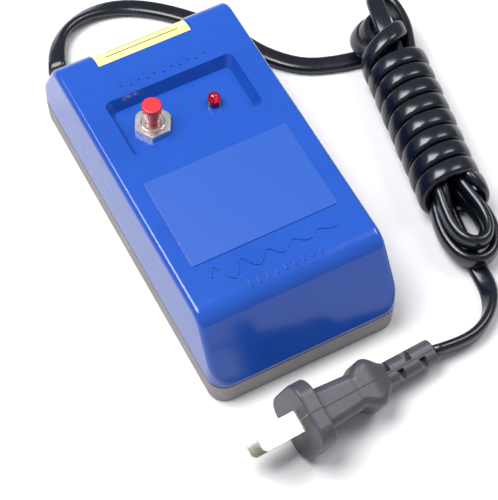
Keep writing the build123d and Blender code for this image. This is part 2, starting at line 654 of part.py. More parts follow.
def smooth_path(points, name=None):
    """Straight runs joined by the largest arcs that the runs allow."""
    corners = [Vector(*p) for p in points]
    radii = []
    for before, here, after in zip(corners, corners[1:], corners[2:]):
        run_in, run_out = here - before, after - here
        half_turn = radians(run_in.get_angle(run_out)) / 2
        radii.append(0.45 * min(run_in.length, run_out.length) / tan(half_turn))
    if name:
        print(name, "arc radii:", [round(r, 1) for r in radii])
    return FilletPolyline(*corners, radius=radii)


def make_crimp_caps():
    """Two closed nylon crimp caps: neutral joint and switched joint."""
    caps = []
    for (x, y), turn in ((CRIMP_NEUTRAL, -90), (CRIMP_SWITCHED, 0)):
        cap = Pos(0, CRIMP_LENGTH / 2, 0) * Rot(90, 0, 0) * Cylinder(CRIMP_DIAMETER / 2, CRIMP_LENGTH)
        cap = fillet(cap.edges().sort_by(Axis.Y)[-1:], 2.0)
        caps.append(Pos(x, y, WIRE_HEIGHT) * Rot(0, 0, turn) * cap)
    return Compound(children=caps)


def make_wire_live():
    """Brown core from the jacket end to the first switch terminal."""
    x, y = SWITCH_X - TERMINAL_X, SWITCH_Y
    return tube([(CORD_EXIT_X + 1.5, JACKET_END_Y, CORD_EXIT_Z), (-25.0, 56.5, CORD_EXIT_Z),
                 (-21.6, 48.0, 5.4), (-19.5, 35.0, 4.4), (x, y + 4.0, 5.0), (x, y, 6.6),
                 (x, y, TERMINAL_END)], WIRE_DIAMETER)


def make_wire_neutral():
    """Blue core from the jacket end across the base to the neutral joint."""
    x, y = CRIMP_NEUTRAL
    return tube([(CORD_EXIT_X - 1.2, JACKET_END_Y, CORD_EXIT_Z),
                 (CORD_EXIT_X - 1.2, JACKET_END_Y - 1.5, CORD_EXIT_Z), (-25.75, 52.0, 4.0),
                 (-25.75, 38.0, 3.9), (-24.5, 25.0, 3.9), (-19.0, 12.5, 3.9),
                 (-8.0, 5.5, 4.0), (4.0, 3.4, 5.2), (15.0, y - 1.9, WIRE_HEIGHT),
                 (x, y - 1.9, WIRE_HEIGHT)], WIRE_DIAMETER)


def make_wire_switched():
    """Brown wire from the second switch terminal to the switched joint."""
    x, y = SWITCH_X + TERMINAL_X, SWITCH_Y
    mouth_x, mouth_y = CRIMP_SWITCHED
    return tube([(x, y, TERMINAL_END), (x, y, 8.0), (x + 0.6, y + 4.0, 6.4),
                 (mouth_x - 1.8, mouth_y - 6.0, WIRE_HEIGHT),
                 (mouth_x - 1.8, mouth_y, WIRE_HEIGHT)], WIRE_DIAMETER)


def make_coil_leads():
    """Sleeved ends of the winding, to the two joints."""
    start_y = CORE_Y + TAPE_SIZE[1] / 2 + 0.1
    height = BOBBIN_BOTTOM + 3.2
    x, y = CRIMP_NEUTRAL
    to_neutral = tube([(9.0, start_y, height), (9.0, start_y + 3.0, height), (11.0, 3.0, 13.0),
                       (15.0, y + 0.2, WIRE_HEIGHT + 1.8), (x, y + 0.2, WIRE_HEIGHT + 1.8)], 1.4)
    x, y = CRIMP_SWITCHED
    to_switched = tube([(-2.0, start_y, height), (-2.0, start_y + 3.0, height), (-1.6, 6.5, 11.0),
                        (-0.4, 19.0, 6.6), (-1.6, 32.0, 6.2), (x + 0.6, y - 4.0, WIRE_HEIGHT),
                        (x + 0.6, y, WIRE_HEIGHT)], 1.4)
    return Compound(children=[to_neutral, to_switched])


def make_led_wires():
    """Thin wires from the diode and the resistor to the two joints."""
    (diode_x, diode_y), (resistor_x, resistor_y) = led_lead_places()
    x, y = CRIMP_NEUTRAL
    diode_wire = tube([(diode_x, diode_y, LED_LEAD_END), (diode_x, diode_y, 9.0),
                       (12.0, 16.0, 6.6), (15.0, y + 2.1, WIRE_HEIGHT),
                       (x, y + 2.1, WIRE_HEIGHT)], 1.0)
    x, y = CRIMP_SWITCHED
    resistor_wire = tube([(resistor_x, resistor_y, LED_LEAD_END), (resistor_x, resistor_y, 9.0),
                          (10.0, 29.5, 6.4), (3.5, 36.5, 6.6), (x + 2.4, y - 3.0, WIRE_HEIGHT),
                          (x + 2.4, y, WIRE_HEIGHT)], 1.0)
    return Compound(children=[diode_wire, resistor_wire])


# ---- free cord ----

def flat_tube(points, name):
    """Flat jacket along a route, wide side level."""
    path = smooth_path(points, name)
    start = path @ 0
    heading = path % 0
    plane = Plane(origin=start, x_dir=Vector(0, 0, 1).cross(heading), z_dir=heading)
    solid = sweep(plane * cord_section(), path=path)
    expected = cord_section().area * path.length
    print(name, "length", round(path.length, 1), "volume / section x length",
          round(solid.volume / expected, 4))
    return solid


def make_cord_hank():
    """Outer shape of the wound hank with the folded loops that stand out at both ends."""
    heading = Vector(*HANK_HEADING, 0)
    across = Vector(-HANK_HEADING[1], HANK_HEADING[0], 0)
    length = HANK_BOTTOM - HANK_TOP
    barrel_plane = Plane(origin=Vector(*HANK_AT, HANK_RADIUS + 0.2) + heading * HANK_TOP,
                         x_dir=across, z_dir=heading)
    barrel = extrude(barrel_plane * Circle(HANK_RADIUS), length)
    barrel = fillet(barrel.edges(), 2.5)
    flat = Plane(origin=(*HANK_AT, 0.2), x_dir=across, z_dir=(0, 0, 1))
    loops = []
    for middle_x, middle_s, width, reach, height in ((0.6, -24.0, 24.0, 38.0, 19.0),
                                                     (1.3, 68.0, 21.5, 37.0, 16.0)):
        lobe = rounded_prism(width, reach, width * 0.42, 0, height)
        lobe = fillet(lobe.faces().sort_by(Axis.Z)[-1].edges(), 3.0)
        loops.append(flat * (Pos(middle_x, -middle_s, 0) * lobe))
    return barrel + loops[0] + loops[1]


# ---- plug ----

def plug_plane():
    """Frame of the plug: Z from the blades towards the cord, X along the blade width."""
    axis = (Vector(*PLUG_BACK) - Vector(*PLUG_FACE)).normalized()
    level = axis.cross(Vector(0, 0, 1)).normalized()
    rise = level.cross(axis).normalized()
    roll = radians(PLUG_ROLL)
    width_direction = level * cos(roll) - rise * sin(roll)
    return Plane(origin=PLUG_FACE, x_dir=width_direction, z_dir=axis)


def plug_length():
    """From the front face to the cord end."""
    return (Vector(*PLUG_BACK) - Vector(*PLUG_FACE)).length


def make_plug_body():
    """One moulding: flange, waisted grip with shoulders, and a slotted strain relief."""
    width, height, thick = PLUG_FLANGE
    body = rounded_prism(width, height, 6.5, 0, thick)
    body = fillet(body.faces().sort_by(Axis.Z)[0].edges() + body.faces().sort_by(Axis.Z)[-1].edges(), 1.0)
    grip = [(thick - 1, 15.9, 16.2), (thick + 4, 15.2, 15.6), (22.5, 13.6, 14.4)]
    shoulder = [(22.5, 13.6, 14.4), (26.5, 15.2, 14.4), (30.3, 18.4, 14.4), (33.2, 16.4, 13.2),
                (PLUG_RELIEF_START + 0.5, 10.6, 10.6)]
    for stations in (grip, shoulder):
        sections = [Pos(0, 0, z) * RectangleRounded(w, h, 3.0) for z, w, h in stations]
        body += loft(sections)
    relief = rounded_prism(PLUG_RELIEF_SIZE, PLUG_RELIEF_SIZE, 3.4, PLUG_RELIEF_START, plug_length())
    relief = fillet(relief.faces().sort_by(Axis.Z)[-1].edges(), 0.5)
    half = PLUG_RELIEF_SIZE / 2
    for start, side in ((36.6, -1), (41.2, 1), (46.1, -1), (51.1, 1)):
        near, far = sorted((side * 0.6, side * (half + 1)))
        relief -= block((near, -half - 1, start), (far, -2.3, start + 2.9))
        relief -= block((near, 2.3, start), (far, half + 1, start + 2.9))
    body += relief
    for y, width in zip((-BLADE_SPACING / 2, BLADE_SPACING / 2), BLADE_WIDTHS):
        body -= Pos(0, y, 0) * Box(width, BLADE_SIZE[0], 24)
    return plug_plane() * body


def make_plug_blades():
    """Two flat nickel-plated blades that reach into the moulding."""
    thick, length = BLADE_SIZE
    blades = []
    for y, width in zip((-BLADE_SPACING / 2, BLADE_SPACING / 2), BLADE_WIDTHS):
        blade = block((-width / 2, y - thick / 2, -length), (width / 2, y + thick / 2, 12))
        blade = chamfer(blade.edges().filter_by(Axis.Y).sort_by(Axis.Z)[:2], 1.3)
        blades.append(plug_plane() * blade)
    return Compound(children=blades)


def main():
    """Builds every piece and writes one STEP file for each."""
    hank = make_cord_hank()
    boot = make_cord_boot()
    plug_body = make_plug_body()
    pieces = {
        "top_shell": make_top_shell(),
        "base_shell": make_base_shell(),
        "case_screws": make_case_screws(),
        "rating_label": label_band(LABEL_RECESS - LABEL_THICKNESS, LABEL_RECESS, LABEL_MARGIN),
        "switch_bush": make_switch_bush(),
        "switch_nut": make_switch_nut(),
        "switch_lock_washer": make_lock_washer(),
        "switch_housing": make_switch_housing(),
        "switch_terminals": make_switch_terminals(),
        "button_cap": make_button_cap(),
        "button_plunger": make_plunger(),
        "contact_bridge": make_contact_bridge(),
        "return_spring": make_return_spring(),
        "led_lens": make_led_lens(),
        "led_leads": make_led_leads(),
        "led_diode": make_led_diode(),
        "led_resistor": make_led_resistor(),
        "core_stack": make_core_stack(),
        "coil_bobbin": make_coil_bobbin(),
        "coil_winding": make_coil_winding(),
        "coil_tape": make_coil_tape(),
        "core_bracket_near": make_bracket(-1),
        "core_bracket_far": make_bracket(1),
        "core_bolts": make_core_bolts(),
        "core_nuts": make_core_nuts(),
        "bracket_screws": make_bracket_screws(),
        "cord_boot": boot,
        "cord_inner_end": make_cord_inner_end(),
        "cord_clamp": make_cord_clamp(),
        "clamp_screw": make_clamp_screw(),
        "crimp_caps": make_crimp_caps(),
        "wire_live": make_wire_live(),
        "wire_neutral": make_wire_neutral(),
        "wire_switched": make_wire_switched(),
        "coil_leads": make_coil_leads(),
        "led_wires": make_led_wires(),
        "cord_lead": flat_tube(LEAD_ROUTE, "cord_lead") - hank - boot,
        "cord_hank": hank,
        "cord_tail": flat_tube(TAIL_ROUTE, "cord_tail") - hank - plug_body,
        "plug_body": plug_body,
        "plug_blades": make_plug_blades(),
    }
    os.makedirs("parts", exist_ok=True)
    for name, shape in pieces.items():
        export_step(shape, f"parts/{name}.step")


main()
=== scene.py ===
"""Finishes, free cord and studio of a bench demagnetizer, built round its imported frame.

Lengths are metres, +Z up. The case stands on Z = 0 with its control panel towards +Y. Most pieces
are nodes of the frame and get their finish here; the supply cord, the switch spring and the cup
inside the indicator are made here.
"""

import json
import logging
import math
from dataclasses import dataclass, field
from enum import Enum

import bpy
from mathutils import Matrix, Vector

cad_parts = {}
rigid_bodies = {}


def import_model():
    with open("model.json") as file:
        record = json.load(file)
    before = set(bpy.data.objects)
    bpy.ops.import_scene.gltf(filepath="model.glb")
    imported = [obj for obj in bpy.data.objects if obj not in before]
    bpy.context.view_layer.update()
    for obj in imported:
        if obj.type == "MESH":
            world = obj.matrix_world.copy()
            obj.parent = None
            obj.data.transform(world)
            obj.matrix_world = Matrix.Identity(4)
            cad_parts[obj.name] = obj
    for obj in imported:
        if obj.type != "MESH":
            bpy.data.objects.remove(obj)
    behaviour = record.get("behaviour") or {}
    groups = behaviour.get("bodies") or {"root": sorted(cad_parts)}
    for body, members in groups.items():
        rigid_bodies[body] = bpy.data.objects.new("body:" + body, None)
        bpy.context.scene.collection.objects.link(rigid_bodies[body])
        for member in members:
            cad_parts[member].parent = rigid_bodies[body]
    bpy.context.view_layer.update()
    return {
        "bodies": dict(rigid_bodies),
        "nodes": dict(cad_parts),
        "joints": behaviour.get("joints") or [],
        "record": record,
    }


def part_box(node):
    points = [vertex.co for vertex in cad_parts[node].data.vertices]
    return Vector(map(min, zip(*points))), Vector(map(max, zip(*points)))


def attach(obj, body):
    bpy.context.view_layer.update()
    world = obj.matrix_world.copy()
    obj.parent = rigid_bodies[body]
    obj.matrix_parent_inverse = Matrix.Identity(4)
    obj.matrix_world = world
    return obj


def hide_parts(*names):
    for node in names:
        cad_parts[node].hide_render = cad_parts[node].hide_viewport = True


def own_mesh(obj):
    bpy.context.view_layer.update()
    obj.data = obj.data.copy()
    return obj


LOG = logging.getLogger("demagnetizer")
MM = 0.001
UP = Vector((0.0, 0.0, 1.0))
CASE_BODY = "case"
RUB_WIDTH = 9 * MM
MIRROR_POLISH = 0.02
WAVE_SCALE = math.pi / 10  # a wave texture of this scale repeats once per metre


# ---- colour and nodes ----

def linear(colour: str) -> tuple[float, float, float, float]:
    """Turns an sRGB hex colour into linear light.

    Args:
        colour: six hex digits after a hash.

    Returns:
        Red, green, blue and an alpha of one.
    """
    channels = []
    for start in (1, 3, 5):
        value = int(colour[start:start + 2], 16) / 255
        channels.append(value / 12.92 if value <= 0.04045 else ((value + 0.055) / 1.055) ** 2.4)
    return (*channels, 1.0)


def add_node(tree: bpy.types.NodeTree, kind: str, settings: dict | None = None,
             links: dict | None = None) -> bpy.types.Node:
    """Adds one node with its settings and links.

    Args:
        tree: the node tree that gets the node.
        kind: the node's type name.
        settings: property name, or input name or number, to its value.
        links: input name or number to the output socket that feeds it.

    Returns:
        The new node.
    """
    node = tree.nodes.new(kind)
    for key, value in (settings or {}).items():
        if isinstance(key, str) and hasattr(node, key):
            setattr(node, key, value)
        else:
            node.inputs[key].default_value = value
    for key, source in (links or {}).items():
        tree.links.new(source, node.inputs[key])
    return node


class Grain(Enum):
    """How the fine relief of a surface runs."""

    EVEN = (1.0, 1.0, 1.0)
    ALONG_X = (0.06, 1.0, 1.0)


@dataclass(frozen=True)
class Finish:
    """One real material with a mottled colour, fine relief and uneven polish."""

    name: str
    colour: str
    shade: str
    roughness: float
    mottle: float = 14 * MM
    grain: float = 0.8 * MM
    relief: float = 0.01 * MM
    direction: Grain = Grain.EVEN
    polish_spread: float = 0.04
    metallic: float = 0.0
    ior: float = 1.5
    see_through: float = 0.0

    def build(self) -> bpy.types.Material:
        """Makes the material.

        Returns:
            A node material that works in the part's own coordinates.
        """
        material = bpy.data.materials.new(self.name)
        material.use_nodes = True
        tree = material.node_tree
        tree.nodes.clear()
        place = add_node(tree, "ShaderNodeTexCoord").outputs["Object"]
        shader = add_node(tree, "ShaderNodeBsdfPrincipled", {
            "Metallic": self.metallic, "Transmission Weight": self.see_through})
        if not self.metallic:
            shader.inputs["IOR"].default_value = self.ior
        tree.links.new(self.colour_socket(tree, place), shader.inputs["Base Color"])
        tree.links.new(self.polish_socket(tree, place), shader.inputs["Roughness"])
        height, depth = self.height_socket(tree, place)
        bump = add_node(tree, "ShaderNodeBump", {"Distance": depth, "Strength": 1.0},
                        {"Height": height})
        tree.links.new(bump.outputs["Normal"], shader.inputs["Normal"])
        add_node(tree, "ShaderNodeOutputMaterial", links={"Surface": shader.outputs["BSDF"]})
        return material

    def colour_socket(self, tree: bpy.types.NodeTree,
                      place: bpy.types.NodeSocket) -> bpy.types.NodeSocket:
        """Slow drift between the two colours.

        Args:
            tree: the material's node tree.
            place: the part's own coordinates.

        Returns:
            The base colour.
        """
        drift = add_node(tree, "ShaderNodeTexNoise",
                         {"Scale": 1 / self.mottle, "Detail": 3.0, "Roughness": 0.55},
                         {"Vector": place})
        spread = add_node(tree, "ShaderNodeMapRange",
                          {"From Min": 0.35, "From Max": 0.65}, {"Value": drift.outputs["Fac"]})
        mix = add_node(tree, "ShaderNodeMix",
                       {"data_type": "RGBA", 6: linear(self.colour), 7: linear(self.shade)},
                       {0: spread.outputs["Result"]})
        return mix.outputs[2]

    def polish_socket(self, tree: bpy.types.NodeTree,
                      place: bpy.types.NodeSocket) -> bpy.types.NodeSocket:
        """Handling and moulding leave the polish uneven over about a centimetre.

        Args:
            tree: the material's node tree.
            place: the part's own coordinates.

        Returns:
            The roughness.
        """
        rub = add_node(tree, "ShaderNodeTexNoise",
                       {"Scale": 1 / RUB_WIDTH, "Detail": 5.0, "Roughness": 0.7},
                       {"Vector": place})
        low = max(MIRROR_POLISH, self.roughness - self.polish_spread)
        span = add_node(tree, "ShaderNodeMapRange",
                        {"From Min": 0.3, "From Max": 0.7, "To Min": low,
                         "To Max": self.roughness + self.polish_spread},
                        {"Value": rub.outputs["Fac"]})
        return span.outputs["Result"]

    def height_socket(self, tree: bpy.types.NodeTree,
                      place: bpy.types.NodeSocket) -> tuple[bpy.types.NodeSocket, float]:
        """Fine relief, stretched along one axis where the surface is drawn or brushed.

        Args:
            tree: the material's node tree.
            place: the part's own coordinates.

        Returns:
            The height, from zero to one, and how far one stands out.
        """
        stretched = add_node(tree, "ShaderNodeMapping", {"Scale": self.direction.value},
                             {"Vector": place})
        relief = add_node(tree, "ShaderNodeTexNoise",
                          {"Scale": 1 / self.grain, "Detail": 4.0, "Roughness": 0.6},
                          {"Vector": stretched.outputs["Vector"]})
        return relief.outputs["Fac"], self.relief


def band_mask(tree: bpy.types.NodeTree, value: bpy.types.NodeSocket, middle: float,
              half: float, soft: float) -> bpy.types.NodeSocket:
    """One inside a band of a coordinate, zero outside it.

    Args:
        tree: the node tree.
        value: the coordinate.
        middle: the band's middle.
        half: half of its width.
        soft: how far its edge fades.

    Returns:
        The mask.
    """
    away = add_node(tree, "ShaderNodeMath", {"operation": "SUBTRACT", 1: middle}, {0: value})
    size = add_node(tree, "ShaderNodeMath", {"operation": "ABSOLUTE"}, {0: away.outputs[0]})
    fade = add_node(tree, "ShaderNodeMapRange",
                    {"From Min": half + soft, "From Max": half - soft, "To Min": 0.0, "To Max": 1.0},
                    {"Value": size.outputs[0]})
    return fade.outputs["Result"]


def multiply(tree: bpy.types.NodeTree, first: bpy.types.NodeSocket,
             second: bpy.types.NodeSocket) -> bpy.types.NodeSocket:
    """Product of two masks."""
    node = add_node(tree, "ShaderNodeMath", {"operation": "MULTIPLY"}, {0: first, 1: second})
    return node.outputs[0]


@dataclass(frozen=True)
class GlossyShell(Finish):
    """Injection-moulded ABS from a polished tool, with a finer-textured work pad.

    Long highlights wobble a little where the wall sank; the pad is a shade lighter and duller.
    """

    pad_middle: tuple[float, float] = (0.0, -21.45 * MM)
    pad_half: tuple[float, float] = (28.9 * MM, 19.6 * MM)
    pad_edge: float = 0.1 * MM
    pad_z: float = 40.6 * MM
    pad_colour: str = "#214FA5"
    pad_roughness: float = 0.30
    sink: float = 0.035 * MM
    sink_width: float = 26 * MM

    def pad_mask(self, tree: bpy.types.NodeTree,
                 place: bpy.types.NodeSocket) -> bpy.types.NodeSocket:
        """One on top of the work pad."""
        axes = add_node(tree, "ShaderNodeSeparateXYZ", links={0: place})
        across, along = (
            band_mask(tree, axes.outputs[axis], middle, half, self.pad_edge)
            for axis, middle, half in zip("XY", self.pad_middle, self.pad_half))
        high = add_node(tree, "ShaderNodeMath", {"operation": "GREATER_THAN", 1: self.pad_z},
                        {0: axes.outputs["Z"]})
        return multiply(tree, multiply(tree, across, along), high.outputs[0])

    def colour_socket(self, tree: bpy.types.NodeTree,
                      place: bpy.types.NodeSocket) -> bpy.types.NodeSocket:
        """Deep blue with the lighter pad."""
        base = super().colour_socket(tree, place)
        mix = add_node(tree, "ShaderNodeMix", {"data_type": "RGBA", 7: linear(self.pad_colour)},
                       {0: self.pad_mask(tree, place), 6: base})
        return mix.outputs[2]

    def polish_socket(self, tree: bpy.types.NodeTree,
                      place: bpy.types.NodeSocket) -> bpy.types.NodeSocket:
        """Polished wall, duller pad."""
        base = super().polish_socket(tree, place)
        mix = add_node(tree, "ShaderNodeMix", {"data_type": "FLOAT", 3: self.pad_roughness},
                       {0: self.pad_mask(tree, place), 2: base})
        return mix.outputs[0]

    def height_socket(self, tree: bpy.types.NodeTree,
                      place: bpy.types.NodeSocket) -> tuple[bpy.types.NodeSocket, float]:
        """Slow sink waves with a trace of grain on them."""
        fine, _ = super().height_socket(tree, place)
        slow = add_node(tree, "ShaderNodeTexNoise",
                        {"Scale": 1 / self.sink_width, "Detail": 1.0}, {"Vector": place})
        both = add_node(tree, "ShaderNodeMath",
                        {"operation": "MULTIPLY_ADD", 1: self.relief / self.sink},
                        {0: fine, 2: slow.outputs["Fac"]})
        return both.outputs[0], self.sink


@dataclass(frozen=True)
class SeamShadedTray(Finish):
    """Moulded tray with painted shade along its top edge, standing for the shadow in the seam under
    the shell.
    """

    seam_z: float = 11.2 * MM
    seam_shade_half: float = 0.32 * MM
    # The seam band is painted shade: a dark stripe standing for the shadow in the gap under the
    # shell.
    seam_shade_colour: str = "#0C0C0F"

    def colour_socket(self, tree: bpy.types.NodeTree,
                      place: bpy.types.NodeSocket) -> bpy.types.NodeSocket:
        """Even colour with a painted shade band along the seam."""
        base = super().colour_socket(tree, place)
        axes = add_node(tree, "ShaderNodeSeparateXYZ", links={0: place})
        # Painted shade: darkens a thin band at the seam's height.
        seam_shade_mask = band_mask(tree, axes.outputs["Z"], self.seam_z, self.seam_shade_half, 0.05 * MM)
        mix = add_node(tree, "ShaderNodeMix", {"data_type": "RGBA", 7: linear(self.seam_shade_colour)},
                       {0: seam_shade_mask, 6: base})
        return mix.outputs[2]


@dataclass(frozen=True)
class LabelFilm(Finish):
    """Printed satin film: plain rules stand for the printed text."""

    ink: str = "#6B5A2E"
    middle_x: float = -1.2 * MM
    rule_half: tuple[float, ...] = (15.0 * MM, 13.0 * MM, 15.5 * MM)
    rule_y: tuple[float, ...] = (56.6 * MM, 59.4 * MM, 62.0 * MM)
    rule_half_width: float = 0.28 * MM
    rule_edge: float = 0.08 * MM
    rule_end_edge: float = 0.05 * MM
    crease_y: float = 58.0 * MM
    crease_half: float = 0.5 * MM
    crease_height: float = 0.12 * MM
    grain_share: float = 0.15

    def colour_socket(self, tree: bpy.types.NodeTree,
                      place: bpy.types.NodeSocket) -> bpy.types.NodeSocket:
        """Yellow film with thin printed rules."""
        colour = super().colour_socket(tree, place)
        axes = add_node(tree, "ShaderNodeSeparateXYZ", links={0: place})
        for half, y in zip(self.rule_half, self.rule_y):
            across = band_mask(tree, axes.outputs["X"], self.middle_x, half, self.rule_end_edge)
            along = band_mask(tree, axes.outputs["Y"], y, self.rule_half_width, self.rule_edge)
            mix = add_node(tree, "ShaderNodeMix", {"data_type": "RGBA", 7: linear(self.ink)},
                           {0: multiply(tree, across, along), 6: colour})
            colour = mix.outputs[2]
        return colour

    def height_socket(self, tree: bpy.types.NodeTree,
                      place: bpy.types.NodeSocket) -> tuple[bpy.types.NodeSocket, float]:
        """A crease across the film where it goes over the shoulder."""
        fine, _ = super().height_socket(tree, place)
        axes = add_node(tree, "ShaderNodeSeparateXYZ", links={0: place})
        crease = band_mask(tree, axes.outputs["Y"], self.crease_y, self.crease_half,
                           self.crease_half)
        both = add_node(tree, "ShaderNodeMath", {"operation": "MULTIPLY_ADD", 1: self.grain_share},
                        {0: fine, 2: crease})
        return both.outputs[0], self.crease_height


@dataclass(frozen=True)
class StackedSheets(Finish):
    """Edges of thin sheets or turns of wire, drawn as fine lines across one axis."""

    pitch: float = 0.5 * MM
    line_axis: str = "Y"

    def height_socket(self, tree: bpy.types.NodeTree,
                      place: bpy.types.NodeSocket) -> tuple[bpy.types.NodeSocket, float]:
        """A groove between each sheet or turn and the next."""
        lines = add_node(tree, "ShaderNodeTexWave",
                         {"wave_type": "BANDS", "bands_direction": self.line_axis,
                          "Scale": WAVE_SCALE / self.pitch, "Distortion": 0.3},
                         {"Vector": place})
        return lines.outputs["Fac"], self.relief


@dataclass(frozen=True)
class PlugVinyl(Finish):
    """Soft vinyl moulded round the cord end, with the parting line of its two-part tool."""

    face: tuple[float, float, float] = (-18.9 * MM, -100.0 * MM, 15.2 * MM)
    back: tuple[float, float, float] = (38.9 * MM, -93.3 * MM, 6.3 * MM)
    roll: float = 17.5
    line_half: float = 0.16 * MM
    line_edge: float = 0.1 * MM
    line_height: float = 0.12 * MM
    grain_share: float = 0.25

    def axis(self) -> Vector:
        """Direction from the blades' face to the cord end."""
        return (Vector(self.back) - Vector(self.face)).normalized()

    def blade_width_direction(self) -> Vector:
        """Direction along a blade's width, square to the parting plane."""
        level = self.axis().cross(UP).normalized()
        rise = level.cross(self.axis())
        turn = math.radians(self.roll)
        return level * math.cos(turn) - rise * math.sin(turn)

    def blade_spacing_direction(self) -> Vector:
        """Downward direction from the upper blade to the lower one."""
        return self.axis().cross(self.blade_width_direction())

    def height_socket(self, tree: bpy.types.NodeTree,
                      place: bpy.types.NodeSocket) -> tuple[bpy.types.NodeSocket, float]:
        """Eroded grain and a fine ridge along the parting plane."""
        fine, _ = super().height_socket(tree, place)
        from_face = add_node(tree, "ShaderNodeVectorMath", {"operation": "SUBTRACT", 1: self.face},
                             {0: place})
        height = add_node(tree, "ShaderNodeVectorMath",
                          {"operation": "DOT_PRODUCT", 1: self.blade_width_direction()},
                          {0: from_face.outputs[0]})
        ridge = band_mask(tree, height.outputs["Value"], 0.0, self.line_half, self.line_edge)
        both = add_node(tree, "ShaderNodeMath", {"operation": "MULTIPLY_ADD", 1: self.grain_share},
                        {0: fine, 2: ridge})
        return both.outputs[0], self.line_height


# ABS, injection moulded in a polished tool: saturated blue under a clear, slightly wavy gloss.
MOULDED_ABS_BLUE = GlossyShell("moulded_abs_blue", "#1646A0", "#194AA7", 0.17,
                               mottle=40 * MM, grain=0.5 * MM, relief=0.0015 * MM,
                               polish_spread=0.03, ior=1.54)
# ABS from a spark-eroded tool: even, fine-grained and dull, with painted shade along the seam.
MOULDED_ABS_GREY = SeamShadedTray("moulded_abs_grey", "#807A7C", "#8A8486", 0.52, grain=0.6 * MM,
                          relief=0.03 * MM, ior=1.54)
# Polyester label film: pale yellow, satin, with a crease.
LABEL_POLYESTER = LabelFilm("label_polyester", "#DFD384", "#E8DD9C", 0.38, grain=2.5 * MM,
                            relief=0.02 * MM)
# Bright nickel plate on turned brass: warm white metal with hair-fine turning marks.
BRIGHT_NICKEL = Finish("bright_nickel", "#F3EFE8", "#E4DFD6", 0.27, grain=0.35 * MM,
                       relief=0.006 * MM, metallic=1.0, polish_spread=0.07)
# Nickel plate on stamped brass blades: drawn lines along the blade.
NICKEL_BLADE = Finish("nickel_plated_blade", "#E4E0D8", "#D2CEC4", 0.24, grain=0.4 * MM,
                      relief=0.01 * MM, direction=Grain.ALONG_X, metallic=1.0)
# Clear zinc plate on steel hardware: cool grey, slightly cloudy.
ZINC_STEEL = Finish("zinc_plated_steel", "#B9BCC0", "#9FA3A8", 0.34, mottle=4 * MM,
                    grain=0.4 * MM, relief=0.008 * MM, metallic=1.0, polish_spread=0.1)
# Phenolic moulding: dark brown with a dusty sheen.
PHENOLIC = Finish("moulded_phenolic", "#3A281C", "#4A3424", 0.42, mottle=2 * MM,
                  grain=0.5 * MM, relief=0.02 * MM, ior=1.6)
# Stamped brass contacts: yellow metal with dull patches.
BRASS = Finish("stamped_brass", "#D0AC5E", "#B08E48", 0.3, mottle=3 * MM, grain=0.3 * MM,
               relief=0.008 * MM, metallic=1.0, polish_spread=0.1)
# ABS button moulding: warm red, satin from a blasted tool.
BUTTON_ABS = Finish("button_abs", "#C8222C", "#BE1C26", 0.38, mottle=5 * MM, grain=0.35 * MM,
                    relief=0.012 * MM, ior=1.54)
# Drawn spring wire: bright with lines along the drawing direction.
SPRING_WIRE = Finish("spring_wire", "#C9CACC", "#A9ABAE", 0.28, grain=0.2 * MM,
                     relief=0.005 * MM, metallic=1.0)
# Clear red epoxy of an indicator lens.
RED_EPOXY = Finish("red_epoxy", "#C8002C", "#B80026", 0.08, mottle=6 * MM, grain=1.5 * MM,
                   relief=0.004 * MM, polish_spread=0.02, ior=1.53, see_through=0.7)
# Tinned copper leads.
TINNED_COPPER = Finish("tinned_copper", "#CBC9C2", "#B4B2AB", 0.36, mottle=2 * MM,
                       grain=0.4 * MM, relief=0.01 * MM, metallic=1.0)
# Black epoxy of a diode body.
BLACK_EPOXY = Finish("black_epoxy", "#1B1A1A", "#262424", 0.38, grain=0.3 * MM, relief=0.01 * MM)
# Resistor lacquer: beige and glossy.
TAN_LACQUER = Finish("resistor_lacquer", "#C9AE84", "#BC9F74", 0.26, grain=0.5 * MM,
                     relief=0.012 * MM)
# Silicon-steel laminations under varnish: 0.5 mm sheets seen edge on.
LAMINATED_STEEL = StackedSheets("laminated_core_steel", "#5F6468", "#4C5054", 0.4,
                                relief=0.08 * MM, metallic=1.0, pitch=0.5 * MM)
# Natural nylon mouldings: milky and soft.
NATURAL_NYLON = Finish("natural_nylon", "#E3DECD", "#D9D2BE", 0.4, grain=0.7 * MM,
                       relief=0.015 * MM, ior=1.53)
# Enamelled copper winding: 0.4 mm wire, turn beside turn.
ENAMELLED_COPPER = StackedSheets("enamelled_copper", "#B4622F", "#9C5226", 0.26,
                                 relief=0.15 * MM, metallic=1.0, pitch=0.4 * MM, line_axis="Z")
# Polyester coil tape: amber, glossy, with overlaps every few millimetres.
COIL_TAPE = StackedSheets("coil_tape", "#D6A12E", "#C99124", 0.24, relief=0.05 * MM,
                          pitch=6.0 * MM, line_axis="Z")
# Plasticised vinyl jacket, extruded: blue-black, glossy, with the die's faint long waves.
VINYL_JACKET = Finish("vinyl_jacket", "#0A0C16", "#0E111D", 0.22, mottle=12 * MM,
                      grain=2.2 * MM, relief=0.05 * MM, polish_spread=0.06, ior=1.53)
# Vinyl strain relief: the same compound from a dull tool.
VINYL_BOOT = Finish("vinyl_boot", "#101114", "#16171B", 0.42, grain=0.5 * MM,
                    relief=0.02 * MM, ior=1.53)
# Vinyl plug moulding: charcoal, satin.
PLUG_MOULDING = PlugVinyl("plug_moulding", "#3E3E44", "#47474D", 0.36, grain=0.45 * MM,
                          relief=0.02 * MM, ior=1.53)
# Coloured vinyl insulation of the single wires.
BROWN_WIRE = Finish("brown_insulation", "#5A3320", "#653B26", 0.36, grain=0.6 * MM)
BLUE_WIRE = Finish("blue_insulation", "#2750A8", "#2C58B4", 0.36, grain=0.6 * MM)
BLACK_WIRE = Finish("black_insulation", "#17181B", "#202125", 0.36, grain=0.6 * MM)
# Varnished glass-fibre sleeving on the winding's ends: a fine braid.
GLASS_SLEEVE = StackedSheets("glass_sleeve", "#DAD6CB", "#C9C4B6", 0.5, relief=0.06 * MM,
                             pitch=0.45 * MM)


